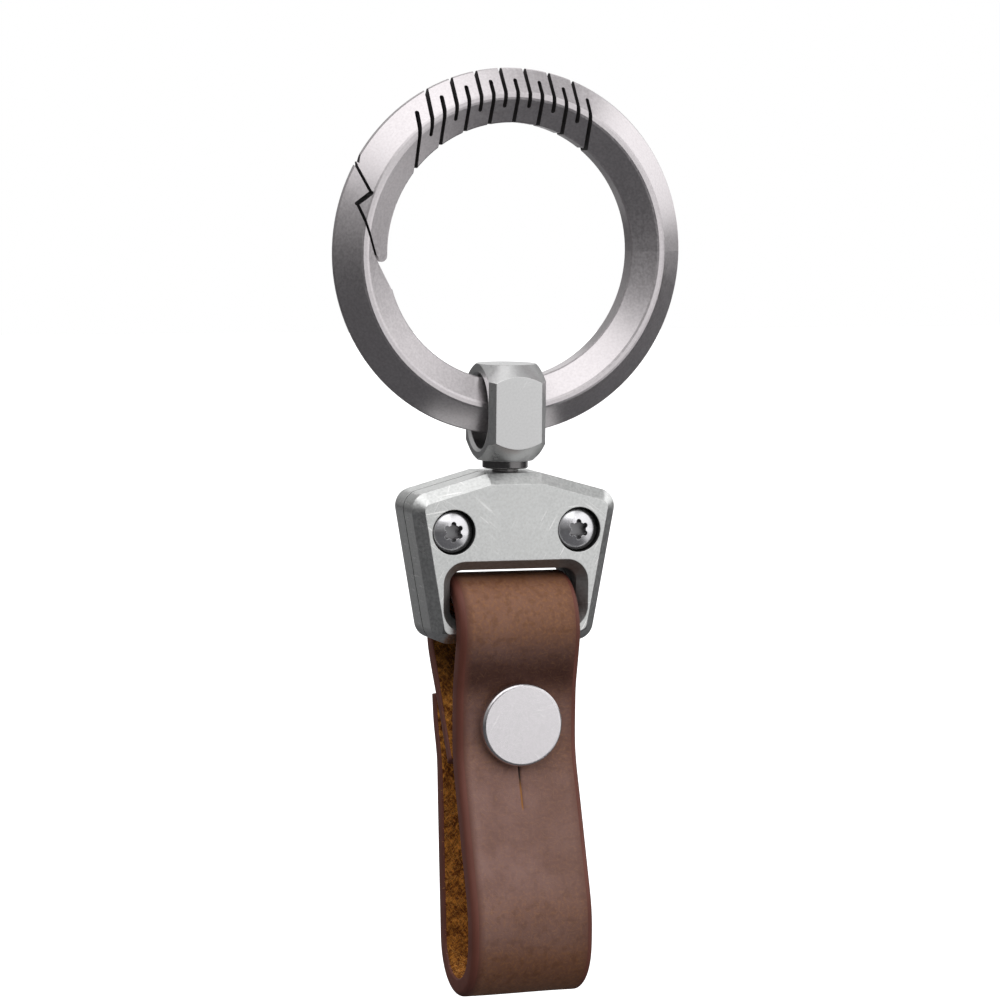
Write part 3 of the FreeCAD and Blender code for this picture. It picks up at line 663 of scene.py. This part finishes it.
stations, around = len(line), len(across)
quads, spot_of = tube_faces(stations, around)
first_end = list(range(around))
last_end = [(stations - 1) * around + k for k in range(around)]
strap = mesh_of("leather_strap_skin", grid.reshape(-1, 3), [*quads.tolist(), first_end, last_end[::-1]])
print("strap volume", round(turn_outwards(strap) * 1e9), "mm3")
strap.data.polygons.foreach_set("use_smooth", np.ones(len(strap.data.polygons), dtype=bool))

# %% [markdown]
# The leather's finishes follow the strap and not space, so the mesh carries what they need: how
# far along and across a point is, in metres, how sharply the strap bends there, where the slit
# is and how far down it, where painted shade darkens it, above the stud and near the loop's
# bottom, and how close a point is to an edge. The bend is 1 / radius, smoothed, and counts in full at the
# tightest bends.
# %% What the leather knows about itself
def give(mesh, name, values):
    """Store one number per vertex."""
    numbers = np.ascontiguousarray(values, dtype=np.float32).ravel()
    mesh.attributes.new(name, "FLOAT", "POINT").data.foreach_set("value", numbers)


turning = np.abs(np.gradient(np.unwrap(np.arctan2(heading[:, 1], heading[:, 0])), travel))
smoothing = np.hanning(19) / np.hanning(19).sum()
turning = np.convolve(np.pad(turning, 9, mode="edge"), smoothing, "valid")
full_bend = 0.00485
# Painted shade: a dark band in the hollow above the stud, and a weaker one near the loop's bottom.
shaded = bump_at(level, -0.0040, 0.0030) + 0.3 * bump_at(level, -0.0315, 0.0045)
near_edge = smooth_step(np.abs(across), strap_width / 2 - 0.0012, strap_width / 2 - 0.0007)
carried = {
    "along": travel[:, None],
    "across": across[None, :],
    "bend": np.clip(turning * full_bend, 0, 1)[:, None],
    "slit": below_cap[:, None],
    "slit_depth": ((slit_top - level) / (slit_top - slit_end))[:, None],
    "shade": shaded[:, None],
    "rim": (near_edge * np.where(across < 0, 1.0, 0.45))[None, :],
}
for name, values in carried.items():
    give(strap.data, name, np.broadcast_to(values, (stations, around)))
print("tightest bend", round(1000 / turning.max(), 2), "mm")

# %% [markdown]
# ## Leather, in three skins
# One hide has three looks. The grain side is dyed and waxed, and nearly smooth. The flesh side is
# suede. The cut edges are burnished with wax until they are dark. Each is a material, and the
# faces take them by which side of the section they are on. All three read their place on the
# strap, across and along, in metres.
# %% Group: place on the strap
def strap_mark(tree, name):
    """One of the numbers that the mesh carries."""
    return place(tree, "ShaderNodeAttribute", attribute_name=name).outputs["Fac"]


strap_place, taken, given = new_group("place on the strap", {}, Place="Vector")
flat = {0: strap_mark(strap_place, "across"), 1: strap_mark(strap_place, "along")}
strap_place.links.new(place(strap_place, "ShaderNodeCombineXYZ", flat).outputs[0], given["Place"])
print("strap place:", len(strap_place.nodes), "nodes")

# %% [markdown]
# This hide is smooth: its grain is very fine, and it is covered with short pale hair marks. The
# marks are noise drawn out along four directions, of which only the crests stay. The fine grain
# is noise with many octaves.
# %% Group: leather grain
grain, taken, given = new_group("leather grain", {"Size": 0.00008}, Height="Float", Hair="Float")
where = use(grain, strap_place)["Place"]
hairs = 0.0
for angle in (0.3, 1.3, -0.8, -1.6):
    lay = stretched(grain, where, (0, 0, angle), (1.0, 7.0, 1.0))
    hairs = most(grain, hairs, spread(grain, noise(grain, lay, taken["Size"], 1.0), 0.60, 0.76))
fine = noise(grain, where, 0.00016, 5.0)
grain.links.new(mixed(grain, hairs, 0.3, fine), given["Height"])
grain.links.new(hairs, given["Hair"])
print("leather grain:", len(grain.nodes), "nodes")

# %% [markdown]
# Suede is a mat of short fibres. Two layers of noise, each drawn out along its own direction,
# give fibres that cross. Soft tufts lie over them.
# %% Group: suede nap
suede, taken, given = new_group("suede nap", {"Size": 0.0002}, Height="Float", Tone="Float")
where = use(suede, strap_place)["Place"]
crossed = 0.0
for angle in (0.5, -0.8):
    lay = stretched(suede, where, (0, 0, angle), (1.0, 3.0, 1.0))
    crossed = most(suede, crossed, noise(suede, lay, taken["Size"], 5.0, 0.75))
tufts = noise(suede, where, 0.0005, 2.0)
pile = mixed(suede, crossed, 0.75, tufts)
suede.links.new(pile, given["Height"])
suede.links.new(spread(suede, pile, 0.44, 0.66), given["Tone"])
print("suede nap:", len(suede.nodes), "nodes")

# %% [markdown]
# The grain side starts from clouds of two browns. Thin coats of other browns go over them, each
# with a mask that says where and a strength that says how much: painted shade towards the right
# side, pale flecks and dark pits, which are thickest in the bends and in the painted shade, the
# orange of a stretched bend, painted shade in the hollow above the stud, hair marks, the rims
# and, last, the slit.
# %% Grain side
grain_side, tree, shader = new_material("waxed grain leather")
skin = use(tree, grain, {"Size": 0.00007})
where = use(tree, strap_place)["Place"]
clouds = spread(tree, noise(tree, where, 0.0022, 7.0), 0.30, 0.70)
# Painted shade: the grain side is darkened towards the strap's right edge.
painted_shade_right = spread(tree, strap_mark(tree, "across"), -0.004, 0.0055)
stretch = spread(tree, strap_mark(tree, "bend"), 0.0, 1.0)
# Painted shade in the hollow above the stud, from the mesh's shade marks.
painted_hollow_shade = strap_mark(tree, "shade")
bends_and_shade = calc(tree, "ADD", times(tree, most(tree, stretch, painted_hollow_shade), 0.35), 0.1)
flecks = spread(tree, noise(tree, where, 0.00016, 3.0), 0.46, 0.66)
pits = spread(tree, noise(tree, where, 0.0004, 4.0), 0.36, 0.5, 1.0, 0.0)
from_middle = calc(tree, "ABSOLUTE", strap_mark(tree, "across"))
slit_line = times(tree, spread(tree, from_middle, 0.00005, 0.00011, 1.0, 0.0), strap_mark(tree, "slit"))
slit_fade = spread(tree, strap_mark(tree, "slit_depth"), 0.3, 0.6)
slit_wall = tint(tree, slit_fade, screen(42, 26, 19), screen(162, 109, 58))
coats = (
    (painted_shade_right, 0.5, screen(115, 82, 70)),
    (flecks, bends_and_shade, screen(184, 130, 82)),
    (pits, bends_and_shade, screen(67, 38, 28)),
    (stretch, 0.55, screen(133, 86, 51)),
    (painted_hollow_shade, 0.95, screen(62, 30, 20)),
    (skin["Hair"], 0.09, screen(180, 137, 93)),
    (strap_mark(tree, "rim"), 0.9, screen(97, 57, 46)),
    (slit_line, 1.0, slit_wall),
)
colour = tint(tree, clouds, screen(126, 93, 84), screen(144, 111, 103))
for mask, strength, brown in coats:
    colour = tint(tree, times(tree, mask, strength), colour, brown)
tree.links.new(colour, shader.inputs["Base Color"])
tree.links.new(spread(tree, skin["Height"], 0.3, 0.7, 0.62, 0.5), shader.inputs["Roughness"])
shader.inputs["Specular IOR Level"].default_value = 0.3
emboss(tree, shader, skin["Height"], 0.00002)
print("grain side:", len(coats), "coats")

# %% [markdown]
# The flesh side is nearly without gloss. Its nap gives both the tone and a deep bump, and a touch
# of sheen lets the fibres catch light at grazing angles.
# %% Flesh side
flesh_side, tree, shader = new_material("suede flesh side", 0.95)
nap = use(tree, suede, {"Size": 0.00013})
colour = tint(tree, nap["Tone"], screen(97, 48, 15), screen(249, 168, 75))
# Painted shade: the suede is darkened where the strap carries its shade band, above the stud and near the
# loop's bottom.
colour = tint(tree, times(tree, strap_mark(tree, "shade"), 0.6), colour, screen(58, 35, 15))
tree.links.new(colour, shader.inputs["Base Color"])
shader.inputs["Specular IOR Level"].default_value = 0.1
shader.inputs["Sheen Weight"].default_value = 0.05
emboss(tree, shader, nap["Height"], 0.00025)
print("flesh side:", len(tree.nodes), "nodes")

# %% [markdown]
# A burnished edge has the least relief of the three skins. It shows only faint lines along the
# strap, where its layers of fibre were pressed, and soft patches of wear.
# %% Cut edge
cut_edge, tree, shader = new_material("burnished edge")
where = use(tree, strap_place)["Place"]
lines = noise(tree, stretched(tree, where, (0, 0, 0), (1.0, 16.0, 1.0)), 0.00022)
patches = noise(tree, where, 0.0024)
tone = spread(tree, mixed(tree, lines, 0.5, patches), 0.34, 0.66)
tree.links.new(tint(tree, tone, screen(99, 55, 44), screen(113, 66, 55)), shader.inputs["Base Color"])
tree.links.new(spread(tree, tone, 0.0, 1.0, 0.6, 0.52), shader.inputs["Roughness"])
shader.inputs["Specular IOR Level"].default_value = 0.3
emboss(tree, shader, lines, 0.00001)
print("cut edge:", len(tree.nodes), "nodes")

# %% [markdown]
# A face of the tube takes its skin from the two points it lies between on the section. Where they
# agree, it takes the skin of that side, and where an edge meets a side, it takes the side's skin.
# The two cut ends are edges too.
# %% Give the strap its skins
for material in (grain_side, cut_edge, flesh_side):
    strap.data.materials.append(material)
next_kind = np.roll(face_kind, -1)
kind_of = np.where(face_kind == next_kind, face_kind, face_kind + next_kind - 1)[spot_of]
kind_of = np.concatenate([kind_of, [1, 1]]).astype(np.int32)
strap.data.polygons.foreach_set("material_index", kind_of)
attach(strap, "strap")
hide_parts("leather_strap")
print("strap", len(strap.data.polygons), "faces")

# %% [markdown]
# ## The nap's loose fibres
# A pattern can colour suede, but its outline stays as smooth as plastic. So short loose fibres
# stand up from the flesh side as real geometry. Each is a thin horn of ten triangles: a triangle
# at the root, a smaller one half way and a point, with its own lean, length and tone. Those near
# an edge lean out over it, and all of them stop short of the bar.
# %% Loose fibres
def nap_fibres(count, length, thick):
    """Horns on the flesh side, narrowing to a point. With lift from 0.3 to 0.8,
    middle = root + reach x (0.6 x lift x up + 0.4 x flat), tip = root + reach x (0.8 x lift x up + flat)."""
    dice = np.random.default_rng(11)
    under_bar, before_end, after_start = 0.0068, 0.009, 0.003
    kept = (level < -under_bar) & (travel < strap_end - before_end) & (travel > after_start)
    free = np.flatnonzero(kept)
    row = dice.choice(free, count)
    x = dice.uniform(-1.0, 1.0, count) * (strap_width / 2 - 0.0002)
    up = np.column_stack([np.zeros(count), -heading[row, 1], heading[row, 0]])
    ahead = np.column_stack([np.zeros(count), heading[row]])
    side = np.tile([1.0, 0.0, 0.0], (count, 1))
    depth = strap_thick / 2 * pared[row] - 0.00008
    scatter = ahead * dice.uniform(-0.00013, 0.00013, (count, 1))
    root = np.column_stack([x, line[row]]) + bar + up * depth[:, None] + scatter
    turned = dice.uniform(0, 2 * math.pi, (count, 1))
    near_edge = smooth_step(np.abs(x), strap_width / 2 - 0.002, strap_width / 2 - 0.0003)
    flat = np.cos(turned) * side + np.sin(turned) * ahead + (0.4 * np.sign(x) * near_edge)[:, None] * side
    flat = flat / np.linalg.norm(flat, axis=1)[:, None]
    reach = length * dice.uniform(0.5, 1.0, (count, 1))
    lift = dice.uniform(0.3, 0.8, (count, 1))
    middle = root + reach * (0.6 * lift * up + 0.4 * flat)
    tip = root + reach * (0.8 * lift * up + 1.0 * flat)
    spokes = [thick * (math.cos(a) * side + math.sin(a) * ahead) for a in (0.0, 2.1, 4.2)]
    points = [root + spoke for spoke in spokes] + [middle + 0.7 * spoke for spoke in spokes] + [tip]
    start = np.arange(count)[:, None] * len(points)
    walls = np.concatenate([start + quad for quad in ((0, 1, 4, 3), (1, 2, 5, 4), (2, 0, 3, 5))])
    caps = np.concatenate([start + corner for corner in ((3, 4, 6), (4, 5, 6), (5, 3, 6), (0, 2, 1))])
    tone = np.repeat(dice.random(count), len(points))
    return np.stack(points, axis=1).reshape(-1, 3), [*walls.tolist(), *caps.tolist()], tone


fibre_count, fibre_length, fibre_thick = 15000, 0.0005, 0.00003
fibre_points, fibre_faces, fibre_tone = nap_fibres(fibre_count, fibre_length, fibre_thick)
fibres = mesh_of("leather_nap_fibres", fibre_points, fibre_faces)
turn_outwards(fibres)
give(fibres.data, "tone", fibre_tone)
fibre_skin, tree, shader = new_material("suede fibre", 0.9)
tone = spread(tree, strap_mark(tree, "tone"), 0.0, 1.0)
tree.links.new(tint(tree, tone, screen(112, 62, 22), screen(248, 184, 104)), shader.inputs["Base Color"])
shader.inputs["Specular IOR Level"].default_value = 0.1
fibres.data.materials.append(fibre_skin)
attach(fibres, "strap")
print("fibres", len(fibres.data.polygons), "faces")

# %% [markdown]
# ## The studio
# A metal shows what is round it, so the room matters as much as the finish. Four square lamps of
# soft light look at the object: one hangs high in front on the left, the largest fills from the
# front on the right, a small one on the right lights the ring's shoulder, and one stands high at
# the back. The eye doesn't see them, but metal does.
# %% Lamps
def soft_lamp(name, place_at, size, strength):
    """A square lamp that looks at the object. Its power is strength x pi x area, so lamps of the
    same strength have equally bright faces, whatever their size."""
    lamp = bpy.data.lights.new(name, "AREA")
    lamp.shape, lamp.size, lamp.energy = "SQUARE", size, strength * math.pi * size * size
    made = bpy.data.objects.new(name, lamp)
    bpy.context.collection.objects.link(made)
    made.location = Vector(place_at)
    made.rotation_euler = (aim - made.location).to_track_quat("-Z", "Y").to_euler()
    made.visible_camera = False
    print("lamp", name, round(lamp.energy, 2), "W")


soft_lamp("overhead", (-0.16, -0.30, 0.48), 0.72, 1.2)
soft_lamp("front panel", (0.40, -0.56, 0.06), 0.80, 0.88)
soft_lamp("right panel", (0.58, 0.04, 0.23), 0.42, 1.25)
soft_lamp("back panel", (0.20, 0.62, 0.46), 0.50, 0.9)

# %% [markdown]
# The world's light is a slope of tone that gets darker towards the ground. Light Path tells the
# camera's rays apart, and they see plain white. Mirrored rays, and rays through glass, see a
# white sheet, low behind the object and to its right. It stops short of the left, where metal
# mirrors the darker room instead.
# %% World
world = bpy.data.worlds.new("studio")
world.use_nodes = True
bpy.context.scene.world = world
tree = world.node_tree
sideways, back, up = parts_of(tree, place(tree, "ShaderNodeTexCoord").outputs["Generated"])
room = spread(tree, up, -0.3, 0.9, 0.12, 0.6)
sheet = times(tree, spread(tree, back, 0.55, 0.85), spread(tree, sideways, -0.25, 0.0))
sheet = times(tree, sheet, spread(tree, up, 0.15, 0.3, 1.0, 0.0))
rays = place(tree, "ShaderNodeLightPath").outputs
mirrored = times(tree, most(tree, rays["Is Glossy Ray"], rays["Is Transmission Ray"]), sheet)
brightness = most(tree, room, mirrored, rays["Is Camera Ray"])
tree.links.new(brightness, tree.nodes["Background"].inputs["Strength"])
tree.nodes["Background"].inputs["Color"].default_value = (1.0, 1.0, 1.0, 1.0)
print("world:", len(tree.nodes), "nodes")

# %% [markdown]
# The floor is plain and pale to the eye, and metal mirrors its far part as pale too. To every
# other ray it is a mid grey that throws little light up, so the undersides stay as dark as
# metal's do over a table. Its front right quarter is paler, as if a card lay there, and throws a
# little more light up. The floor keeps the soft shadow, because only its colour changes.
# %% Floor
floor_half, floor_drop = 3.0, 0.12
floor_corners = np.array([(-1, -1, 0), (1, -1, 0), (1, 1, 0), (-1, 1, 0)]) * floor_half
floor = mesh_of("floor", floor_corners + [0, 0, cad_low[2] - floor_drop], [(0, 1, 2, 3)])
paper, tree, shader = new_material("pale paper", 0.9)
rays = place(tree, "ShaderNodeLightPath").outputs
here = object_place(tree)
sideways, back, up = parts_of(tree, here)
far = times(tree, spread(tree, back, 0.5, 1.0), spread(tree, sideways, -0.3, 0.0))
mirrored = times(tree, most(tree, rays["Is Glossy Ray"], rays["Is Transmission Ray"]), far)
card = times(tree, spread(tree, sideways, 0.16, 0.26), spread(tree, back, -0.16, -0.04, 1.0, 0.0))
table = tint(tree, card, screen(92, 92, 94), screen(225, 225, 225))
seen = tint(tree, most(tree, rays["Is Camera Ray"], mirrored), table, screen(244, 244, 244))
tree.links.new(seen, shader.inputs["Base Color"])
away = off_axis(tree, here, (1.0, 1.0, 0.0))
glow = times(tree, rays["Is Camera Ray"], spread(tree, away, 0.25, 0.9, 0.4, 1.0))
tree.links.new(most(tree, glow, times(tree, mirrored, 0.55)), shader.inputs["Emission Strength"])
shader.inputs["Emission Color"].default_value = (1.0, 1.0, 1.0, 1.0)
floor.data.materials.append(paper)
print("floor", floor_half * 2, "m wide")

# %% [markdown]
# ## Close the lesson
# The view transform is Standard, so a colour is shown as it is written.
# %% Finish
bpy.context.scene.view_settings.view_transform = "Standard"
